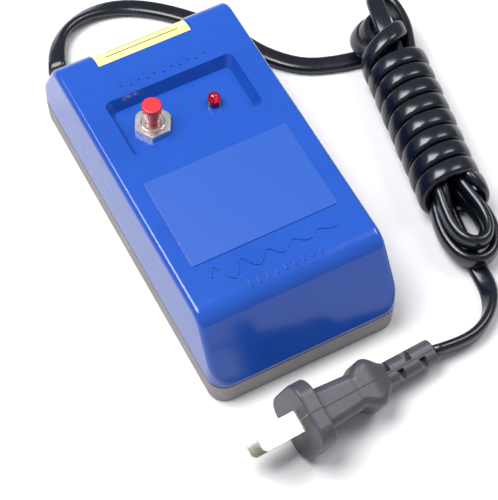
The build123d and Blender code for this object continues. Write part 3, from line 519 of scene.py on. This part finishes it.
def dress(frame: dict, finish: Finish, *names: str) -> None:
    """Gives one finish to nodes of the frame.

    Args:
        finish: the finish.
        names: the nodes.
    """
    material = finish.build()
    for name in names:
        node = frame["nodes"][name]
        node.data.materials.clear()
        node.data.materials.append(material)
        LOG.info("%s: %s", name, finish.name)


def new_mesh(name: str, points: list[Vector], faces: list[tuple[int, ...]],
             finish: Finish) -> bpy.types.Object:
    """Makes a smooth mesh object in the scene.

    Args:
        name: the piece's name.
        points: its vertices.
        faces: vertex numbers of each face.
        finish: its finish.

    Returns:
        The new object.
    """
    mesh = bpy.data.meshes.new(name)
    mesh.from_pydata(points, [], faces)
    mesh.polygons.foreach_set("use_smooth", [True] * len(mesh.polygons))
    mesh.materials.append(finish.build())
    mesh.validate()
    piece = bpy.data.objects.new(name, mesh)
    bpy.context.scene.collection.objects.link(piece)
    return piece


def tube_faces(rings: int, count: int) -> list[tuple[int, ...]]:
    """Faces of a closed tube whose points are listed ring after ring.

    Args:
        rings: how many rings there are.
        count: points in each ring.

    Returns:
        Vertex numbers of each face.
    """
    faces = []
    for ring in range(rings - 1):
        for i in range(count):
            after = (i + 1) % count
            low, high = ring * count, (ring + 1) * count
            faces.append((low + i, low + after, high + after, high + i))
    faces.append(tuple(reversed(range(count))))
    faces.append(tuple(range((rings - 1) * count, rings * count)))
    return faces


# ---- studio ----

@dataclass(frozen=True)
class SoftBox:
    """Square soft light: its place, the length of its side and its power in watts."""

    name: str
    place: Vector
    side: float
    power: float


OVERHEAD_BOX = SoftBox("overhead_box", Vector((-0.35, 0.25, 1.05)), 0.7, 19.0)
RIGHT_BOX = SoftBox("right_box", Vector((0.62, -0.03, 0.95)), 0.42, 4.5)


@dataclass
class Studio:
    """Pale bench, two soft lights, a pale room and the camera."""

    floor_half: float = 2.5
    floor_colour: str = "#DCDCDC"
    camera_at: Vector = field(default_factory=lambda: Vector((-0.1561, -0.3238, 0.5531)))
    look_at: Vector = field(default_factory=lambda: Vector((-0.00189, -0.03179, 0.01851)))
    roll: float = 0.1753
    lens: float = 124.56
    sensor: float = 36.0
    lights_aim: Vector = field(default_factory=lambda: Vector((0.0, 0.0, 0.02)))
    room_colour: str = "#E9EDF5"
    room_strength: float = 0.42

    def make_camera(self) -> None:
        """Puts the camera in place and makes it the scene's own."""
        data = bpy.data.cameras.new("camera")
        data.lens = self.lens
        data.sensor_width = self.sensor
        data.sensor_fit = "AUTO"
        data.clip_start = 0.01
        data.dof.use_dof = False
        camera = bpy.data.objects.new("camera", data)
        aim = (self.look_at - self.camera_at).to_track_quat("-Z", "Y").to_matrix().to_4x4()
        turn = Matrix.Rotation(math.radians(self.roll), 4, "Z")
        camera.matrix_world = Matrix.Translation(self.camera_at) @ aim @ turn
        bpy.context.scene.collection.objects.link(camera)
        bpy.context.scene.camera = camera
        LOG.info("camera: %.2f mm lens", self.lens)

    def make_floor(self) -> None:
        """A wide pale bench top with a trace of tooth."""
        half = self.floor_half
        corners = [Vector((-half, -half, 0)), Vector((half, -half, 0)),
                   Vector((half, half, 0)), Vector((-half, half, 0))]
        paper = Finish("bench_paper", self.floor_colour, self.floor_colour, 0.7, grain=1.5 * MM,
                       relief=0.004 * MM)
        new_mesh("bench", corners, [(0, 1, 2, 3)], paper)

    def make_light(self, box: SoftBox) -> None:
        """Hangs one soft light, aimed at the case.

        Args:
            box: the light.
        """
        data = bpy.data.lights.new(box.name, "AREA")
        data.shape = "RECTANGLE"
        data.size, data.size_y = box.side, box.side
        data.energy = box.power
        light = bpy.data.objects.new(box.name, data)
        aim_turn = (self.lights_aim - box.place).to_track_quat("-Z", "Y").to_matrix().to_4x4()
        light.matrix_world = Matrix.Translation(box.place) @ aim_turn
        bpy.context.scene.collection.objects.link(light)

    def make_room(self) -> None:
        """Pale room, and a plain view so that the bench stays white and the blue stays deep."""
        world = bpy.data.worlds.new("room")
        world.use_nodes = True
        world.node_tree.nodes.clear()
        room = add_node(world.node_tree, "ShaderNodeBackground",
                        {"Color": linear(self.room_colour), "Strength": self.room_strength})
        add_node(world.node_tree, "ShaderNodeOutputWorld", links={0: room.outputs[0]})
        bpy.context.scene.world = world
        bpy.context.scene.view_settings.view_transform = "Standard"

    def build(self) -> None:
        """Makes the whole studio."""
        self.make_camera()
        self.make_floor()
        for box in (OVERHEAD_BOX, RIGHT_BOX):
            self.make_light(box)
        self.make_room()


# ---- supply cord ----

@dataclass(frozen=True)
class Station:
    """One control point of the cord and the direction of its wide side there."""

    place: Vector
    wide: Vector


@dataclass
class SupplyCord:
    """Flat two-core cord: out of the case, round the hank, through it and on to the plug.

    Hank places are (along the hank, across it, height) in millimetres. The cord first winds round
    the bundle, then enters it and runs back and forth through it, and leaves at the far end.
    """

    width: float = 7.3 * MM
    thickness: float = 3.8 * MM
    crown: float = 0.12 * MM
    exit: tuple[float, float, float] = (-0.0265, 0.0850, 0.0056)
    declared_length: float = 1.8
    origin: Vector = field(default_factory=lambda: Vector((0.0888, 0.0126, 0.0)))
    along: Vector = field(default_factory=lambda: Vector((-0.182, -0.983, 0.0)).normalized())
    axis_height: float = 0.0127
    wrap_radius: float = 0.0106
    wrap_squareness: float = 2.35
    wrap_pitch: float = 0.0077
    wrap_swell: float = 0.3
    wrap_slip: float = 0.15
    first_left: float = -0.009
    wraps: int = 8
    steps_per_turn: int = 12
    upper: float = 0.0163
    lower: float = 0.0091
    columns: tuple[float, ...] = (-0.0056, -0.0019, 0.0019, 0.0056)
    side_points: int = 8
    flat_points: int = 3
    samples: int = 4
    lead_route: tuple[tuple[float, float, float], ...] = (
        (-0.0267, 0.0842, 0.0057), (-0.0234, 0.0943, 0.0037), (-0.0162, 0.1034, 0.0035),
        (-0.0046, 0.1078, 0.0031), (0.0086, 0.1062, 0.00225), (0.0212, 0.0988, 0.00215),
        (0.0342, 0.0856, 0.00215), (0.0452, 0.0694, 0.00215), (0.0504, 0.0565, 0.00215),
        (0.0615, 0.0438, 0.00215), (0.0745, 0.0386, 0.00215), (0.0850, 0.0364, 0.00215),
    )
    lead_lean: tuple[float, ...] = (0.0, 30.0, 62.0, 38.0, 5.0)
    tail_route: tuple[tuple[float, float, float], ...] = (
        (0.0746, -0.0617, 0.0026), (0.0743, -0.0718, 0.0023), (0.0725, -0.0813, 0.0034),
        (0.0668, -0.0894, 0.0040), (0.0584, -0.0939, 0.0041), (0.0485, -0.0944, 0.0049),
        (0.0389, -0.0933, 0.0063),
    )
    tail_lean: tuple[float, ...] = (0.0, 5.0, 42.0, 80.0, 86.0, 80.0)

    @property
    def across(self) -> Vector:
        """Direction across the hank, away from the case."""
        return UP.cross(self.along)

    def turned(self, s: float, v: float, z: float) -> Vector:
        """Direction given in the hank's own axes."""
        return self.along * s + self.across * v + UP * z

    def at(self, s: float, v: float, z: float, wide: tuple[float, float, float]) -> Station:
        """Control point given in the hank's own axes, in millimetres."""
        return Station(self.origin + self.turned(s, v, z) * MM, self.turned(*wide).normalized())

    def route(self, points: tuple[tuple[float, float, float], ...], lean: tuple[float, ...],
              side: float) -> list[Station]:
        """Control points along the bench, lying flat where they have no lean.

        Args:
            points: the places.
            lean: degrees that the wide side is turned down, for the first points.
            side: 1 where the wide direction points left of the way, -1 where it points right.

        Returns:
            The control points.
        """
        places = [Vector(p) for p in points]
        stations = []
        for i, place in enumerate(places):
            before, after = places[max(i - 1, 0)], places[min(i + 1, len(places) - 1)]
            level = UP.cross(after - before).normalized() * side
            turn = math.radians(lean[i]) if i < len(lean) else 0.0
            stations.append(Station(place, level * math.cos(turn) - UP * math.sin(turn)))
        return stations

    def crossing(self) -> list[Station]:
        """Under the bundle, up through the big loop and over to the first wrap."""
        back = (-1.0, 0.0, 0.0)
        return [self.at(*p, back) for p in (
            (-22.8, 0.0, 2.15), (-22.6, 4.6, 2.4), (-22.0, 7.0, 6.0), (-21.6, 7.4, 11.0),
            (-20.8, 7.2, 16.4), (-18.6, 5.6, 21.4), (-15.2, 0.8, 24.2), (-12.6, -5.2, 22.8),
            (-10.4, -10.4, 18.4))]

    def winding(self) -> list[Station]:
        """Helix round the bundle, from its first left side to under the last turn.

        Each turn swells and slips by a fraction of a millimetre, as hand-wound turns do. The
        control points stand out a little, because the smooth line cuts inside them.
        """
        turn_step = 2 * math.pi / self.steps_per_turn
        pull = 1 - (1 - math.cos(turn_step)) / 4
        power = self.wrap_squareness
        stations = []
        for i in range(self.wraps * self.steps_per_turn + self.steps_per_turn // 4 + 1):
            angle = math.pi + i * turn_step
            side, rise = math.cos(angle), math.sin(angle)
            round_up = (abs(side) ** power + abs(rise) ** power) ** (-1 / power)
            radius = self.wrap_radius * round_up / pull / MM
            s = (self.first_left + self.wrap_pitch * i / self.steps_per_turn) / MM
            swell = self.wrap_swell * math.sin(0.9 * i) * math.cos(0.37 * i)
            slip = self.wrap_slip * math.sin(1.7 * i)
            stations.append(self.at(s + slip, (radius + swell) * side,
                                    self.axis_height / MM + radius * rise, (-1.0, 0.0, 0.0)))
        return stations

    def tuck(self) -> list[Station]:
        """Last turn, over the bundle's shoulder and into its upper layer."""
        return [self.at(*p, wide) for p, wide in (
            ((55.6, 6.2, 2.7), (-1.0, 0.0, 0.0)), ((57.2, 10.8, 5.8), (-1.0, 0.0, 0.0)),
            ((57.9, 12.0, 11.0), (-1.0, 0.0, 0.0)), ((57.2, 11.2, 16.0), (-1.0, 0.1, -0.1)),
            ((55.0, 8.7, 19.0), (-0.8, 0.4, -0.4)), ((50.5, 6.6, 18.8), (-0.3, 0.5, -0.9)),
            ((45.0, 5.8, 17.3), (0.0, 0.0, -1.0)))]

    def fold(self, points: tuple[tuple[float, float, float], ...],
             lean: tuple[float, float, float] = (0.0, 0.0, -1.0)) -> list[Station]:
        """Loop outside the bundle, standing on edge or leaning."""
        return [self.at(*p, lean) for p in points]

    def strand(self, column: int, height: float, start: float, end: float) -> list[Station]:
        """Straight stretch inside the bundle, hidden by the wraps."""
        v = self.columns[column] / MM
        return [self.at(s, v, height / MM, (0.0, 0.0, -1.0))
                for s in (start, (2 * start + end) / 3, (start + 2 * end) / 3, end)]

    def bundle(self) -> list[Station]:
        """Eight strands and the seven loops that join them."""
        top, bottom, tucked = 0.0, 44.0, 38.0
        upright, out_left, out_right = (0.0, 0.0, -1.0), (0.0, -0.5, -0.85), (0.0, -0.45, -0.9)
        flat_left = (0.0, -1.0, -0.12)
        stations = self.strand(3, self.upper, tucked, top)
        stations += self.fold(((-8, 6.4, 16.2), (-14, 7.9, 15.8)), (0.0, -0.2, -1.0))
        stations += self.fold(((-22, 9.2, 15.4), (-30, 9.2, 15.2), (-36, 8.1, 15.2)), out_right)
        stations += [self.at(-40.2, 5.6, 15.8, (-0.5, 0.0, -0.85)),
                     self.at(-40.2, 2.6, 17.2, (-0.7, -0.5, -0.4))]
        stations += self.fold(((-36, 1.2, 18.8), (-29.5, 0.6, 19.6), (-23.5, 0.1, 19.4),
                               (-18, 0.3, 18.6)), flat_left)
        stations += [self.at(-12.0, 1.2, 17.6, (0.0, -0.6, -0.8))]
        stations += self.strand(2, self.upper, top, bottom)
        stations += self.fold(((51, 3.0, 16.0), (58, 5.0, 15.4), (65, 7.2, 14.6),
                               (72.5, 7.8, 14.2), (78.2, 5.6, 14.0), (79.8, 1.2, 14.0),
                               (76.8, -3.4, 14.0), (70.5, -5.8, 14.2), (63, -6.1, 14.8),
                               (55, -5.7, 15.8)), upright)
        stations += self.strand(0, self.upper, bottom, top)
        stations += self.fold(((-8, -5.9, 15.8), (-13, -7.2, 14.6)), upright)
        stations += self.fold(((-18, -8.6, 12.6), (-24, -9.8, 10.4), (-29.8, -8.2, 9.2),
                               (-33.4, -4.4, 8.4)), out_left)
        stations += self.fold(((-33.2, 0.2, 7.8), (-29, 3.4, 7.6), (-22, 3.2, 7.6),
                               (-15, 4.4, 8.2), (-8, 5.6, 9.0)), upright)
        stations += self.strand(3, self.lower, top, bottom)
        stations += self.fold(((52, 6.4, 9.0), (59, 9.2, 8.4), (67, 11.2, 7.8),
                               (75, 10.6, 7.6), (81.2, 7.4, 7.6), (83.8, 1.6, 7.6),
                               (81.0, -4.6, 7.6), (74.0, -7.6, 7.6), (66.5, -8.4, 7.8),
                               (58.5, -7.6, 8.4), (51, -6.0, 9.0)), upright)
        stations += self.strand(0, self.lower, bottom, top)
        stations += self.fold(((-8, -5.8, 9.0), (-14, -6.7, 8.3), (-20, -7.0, 7.8),
                               (-25, -6.2, 7.6), (-27, -3.6, 7.6), (-25, -1.0, 7.6),
                               (-20, -0.2, 7.6), (-14, 0.8, 7.7), (-8, 1.7, 8.6)), upright)
        stations += self.strand(2, self.lower, top, bottom)
        stations += self.fold(((52, 2.6, 8.9), (59, 5.4, 8.4), (66, 7.6, 7.8), (72.6, 7.4, 7.6),
                               (76.8, 3.0, 7.6), (75.0, -2.4, 7.7), (67.5, -4.3, 8.6),
                               (59.5, -3.6, 11.4), (52, -2.4, 14.8)), upright)
        stations += self.strand(1, self.upper, bottom, top)
        stations += self.fold(((-8, -2.3, 16.3), (-13, -3.2, 16.0)), upright)
        stations += self.fold(((-18, -5.2, 15.4), (-24, -6.6, 14.8), (-29, -5.0, 14.4),
                               (-31.2, -1.4, 14.2)), out_left)
        stations += self.fold(((-29.5, 2.2, 14.0), (-24, 2.8, 13.9), (-17.5, 1.2, 13.5),
                               (-12, -0.8, 12.4), (-6, -1.8, 10.4)), upright)
        stations += self.strand(1, self.lower, top, bottom)
        stations += [self.at(*p, wide) for p, wide in (
            ((52.0, -1.9, 8.0), (0.0, -0.4, -0.9)), ((60.0, -2.4, 5.6), (0.0, -0.8, -0.6)))]
        return stations

    def tail(self) -> list[Station]:
        """From the hank to the plug, turning on edge as the plug holds it."""
        stations = self.route(self.tail_route, self.tail_lean, -1.0)
        held = PLUG_MOULDING.blade_spacing_direction()
        stations[-1] = Station(stations[-1].place, held)
        return stations

    def spline_line(self, places: list[Vector]) -> list[Vector]:
        """Reads a smooth NURBS line through the control points.

        Args:
            places: the control points.

        Returns:
            Points along the line.
        """
        curve = bpy.data.curves.new("cord_route", "CURVE")
        curve.dimensions = "3D"
        curve.resolution_u = self.samples
        spline = curve.splines.new("NURBS")
        spline.points.add(len(places) - 1)
        for point, place in zip(spline.points, places):
            point.co = (*place, 1.0)
        spline.order_u = 3
        spline.use_endpoint_u = True
        route = bpy.data.objects.new("cord_route", curve)
        mesh = bpy.data.meshes.new_from_object(route)
        line = [vertex.co.copy() for vertex in mesh.vertices]
        bpy.data.meshes.remove(mesh)
        bpy.data.objects.remove(route)
        bpy.data.curves.remove(curve)
        return line

    def section(self) -> list[tuple[float, float]]:
        """Outline of the jacket: round edges and slightly crowned faces."""
        radius = self.thickness / 2
        reach = self.width / 2 - radius
        outline = []
        for side in (1, -1):
            for i in range(self.side_points + 1):
                angle = math.pi * (i / self.side_points - 0.5)
                outline.append((side * (reach + radius * math.cos(angle)),
                                side * radius * math.sin(angle)))
            for i in range(1, self.flat_points + 1):
                part = i / (self.flat_points + 1)
                swell = self.crown * math.sin(math.pi * part)
                outline.append((side * reach * (1 - 2 * part), side * (radius + swell)))
        return outline

    def sweep(self, line: list[Vector], edge: list[Vector]) -> bpy.types.Object:
        """Skins the jacket along the line.

        Args:
            line: points of the centre line.
            edge: the same line moved towards the wide side.

        Returns:
            The cord's mesh object.
        """
        outline = self.section()
        points = []
        for i, place in enumerate(line):
            heading = (line[min(i + 1, len(line) - 1)] - line[max(i - 1, 0)]).normalized()
            wide = edge[i] - place
            wide = (wide - heading * wide.dot(heading)).normalized()
            thin = heading.cross(wide)
            points += [place + wide * x + thin * y for x, y in outline]
        return new_mesh("supply_cord", points, tube_faces(len(line), len(outline)), VINYL_JACKET)

    def build(self) -> bpy.types.Object:
        """Returns:
            The cord's mesh object.
        """
        stations = self.route(self.lead_route, self.lead_lean, 1.0) + self.crossing()
        stations += self.winding() + self.tuck()
        stations += self.bundle() + self.tail()
        line = self.spline_line([s.place for s in stations])
        edge = self.spline_line([s.place + s.wide * self.thickness for s in stations])
        cord = self.sweep(line, edge)
        length = sum((b - a).length for a, b in zip(line, line[1:]))
        LOG.info("supply_cord: %.3f m along %d stations", length, len(stations))
        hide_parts("cord_lead", "cord_hank", "cord_tail")
        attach(cord, CASE_BODY)
        return cord


# ---- sub-assemblies ----

@dataclass
class Case:
    """Two shells, the rating label and the screws under them."""

    frame: dict

    def build(self) -> None:
        """Dresses the shells, the label and the screws."""
        dress(self.frame, MOULDED_ABS_BLUE, "top_shell")
        dress(self.frame, MOULDED_ABS_GREY, "base_shell")
        dress(self.frame, LABEL_POLYESTER, "rating_label")
        dress(self.frame, ZINC_STEEL, "case_screws")


@dataclass
class PushSwitch:
    """Panel switch with its red button and the spring under it."""

    frame: dict
    travel: float = 3.0 * MM
    spring_wire: float = 0.5 * MM
    spring_turns: int = 7
    steps_per_turn: int = 24
    wire_sides: int = 8

    def make_spring(self) -> bpy.types.Object:
        """Return spring between the housing floor and the bridge."""
        low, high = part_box("return_spring")
        centre = (low + high) / 2
        wire = self.spring_wire / 2
        radius = (high.x - low.x) / 2 - wire
        rise = high.z - low.z - 2 * wire
        steps = self.spring_turns * self.steps_per_turn
        points = []
        for i in range(steps + 1):
            angle = 2 * math.pi * i / self.steps_per_turn
            out = Vector((math.cos(angle), math.sin(angle), 0.0))
            middle = Vector((centre.x, centre.y, low.z + wire + rise * i / steps)) + out * radius
            for j in range(self.wire_sides):
                turn = 2 * math.pi * j / self.wire_sides
                points.append(middle + (out * math.cos(turn) - UP * math.sin(turn)) * wire)
        faces = tube_faces(steps + 1, self.wire_sides)
        spring = new_mesh("switch_spring", points, faces, SPRING_WIRE)
        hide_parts("return_spring")
        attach(spring, CASE_BODY)
        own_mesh(spring)
        return spring

    def build(self) -> None:
        """Dresses the switch and makes its spring."""
        dress(self.frame, BRIGHT_NICKEL, "switch_bush", "switch_nut")
        dress(self.frame, ZINC_STEEL, "switch_lock_washer")
        dress(self.frame, PHENOLIC, "switch_housing")
        dress(self.frame, BRASS, "switch_terminals", "contact_bridge")
        dress(self.frame, BUTTON_ABS, "button_cap", "button_plunger")
        LOG.info("%s: made", self.make_spring().name)


@dataclass
class Indicator:
    """Red lens with the small reflector cup inside it."""

    frame: dict
    cup_radii: tuple[float, float] = (0.55 * MM, 1.35 * MM)
    cup_depth: float = 0.9 * MM
    cup_height: float = 1.26 * MM
    cup_wall: float = 0.12 * MM
    cup_centre: float = 0.02 * MM
    rim_below_dome: float = 0.2 * MM
    steps: int = 20

    def make_cup(self) -> bpy.types.Object:
        """Reflector cup that the lens is cast round."""
        low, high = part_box("led_lens")
        centre = (low + high) / 2
        rim = high.z - (high.x - low.x) / 2 - self.rim_below_dome
        floor, foot = rim - self.cup_depth, rim - self.cup_height
        inner, outer = self.cup_radii
        profile = ((self.cup_centre, floor), (inner, floor), (outer, rim),
                   (outer + self.cup_wall, rim), (inner + self.cup_wall, foot),
                   (self.cup_centre, foot))
        points, faces = [], []
        for i in range(self.steps):
            angle = 2 * math.pi * i / self.steps
            points += [Vector((centre.x + r * math.cos(angle), centre.y + r * math.sin(angle), z))
                       for r, z in profile]
        count = len(profile)
        for i in range(self.steps):
            here, there = i * count, ((i + 1) % self.steps) * count
            for j in range(count):
                after = (j + 1) % count
                faces.append((here + j, there + j, there + after, here + after))
        cup = new_mesh("led_reflector", points, faces, TINNED_COPPER)
        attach(cup, CASE_BODY)
        return cup

    def build(self) -> None:
        """Dresses the lens and its small parts and adds the cup."""
        dress(self.frame, RED_EPOXY, "led_lens")
        dress(self.frame, TINNED_COPPER, "led_leads")
        dress(self.frame, BLACK_EPOXY, "led_diode")
        dress(self.frame, TAN_LACQUER, "led_resistor")
        LOG.info("%s: made", self.make_cup().name)


@dataclass
class Magnet:
    """Laminated core, wound bobbin and the brackets that hold them."""

    frame: dict

    def build(self) -> None:
        """Dresses the magnet."""
        dress(self.frame, LAMINATED_STEEL, "core_stack")
        dress(self.frame, NATURAL_NYLON, "coil_bobbin")
        dress(self.frame, ENAMELLED_COPPER, "coil_winding")
        dress(self.frame, COIL_TAPE, "coil_tape")
        dress(self.frame, ZINC_STEEL, "core_bracket_near", "core_bracket_far", "core_bolts",
              "core_nuts", "bracket_screws")


@dataclass
class Wiring:
    """Cord entry, clamp, joints and the wires inside the case."""

    frame: dict

    def build(self) -> None:
        """Dresses the wiring."""
        dress(self.frame, VINYL_BOOT, "cord_boot")
        dress(self.frame, VINYL_JACKET, "cord_inner_end")
        dress(self.frame, NATURAL_NYLON, "cord_clamp", "crimp_caps")
        dress(self.frame, ZINC_STEEL, "clamp_screw")
        dress(self.frame, BROWN_WIRE, "wire_live", "wire_switched")
        dress(self.frame, BLUE_WIRE, "wire_neutral")
        dress(self.frame, BLACK_WIRE, "led_wires")
        dress(self.frame, GLASS_SLEEVE, "coil_leads")


@dataclass
class Plug:
    """Moulded plug with two flat blades."""

    frame: dict

    def build(self) -> None:
        """Dresses the plug."""
        dress(self.frame, PLUG_MOULDING, "plug_body")
        dress(self.frame, NICKEL_BLADE, "plug_blades")


def main() -> None:
    """Builds the demagnetizer in order."""
    logging.basicConfig(level=logging.INFO, format="%(name)s: %(message)s")
    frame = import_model()
    Studio().build()
    SupplyCord().build()
    for part in (Case, PushSwitch, Indicator, Magnet, Wiring, Plug):
        part(frame).build()
        LOG.info("%s: done", part.__name__)


if __name__ == "__main__":
    main()
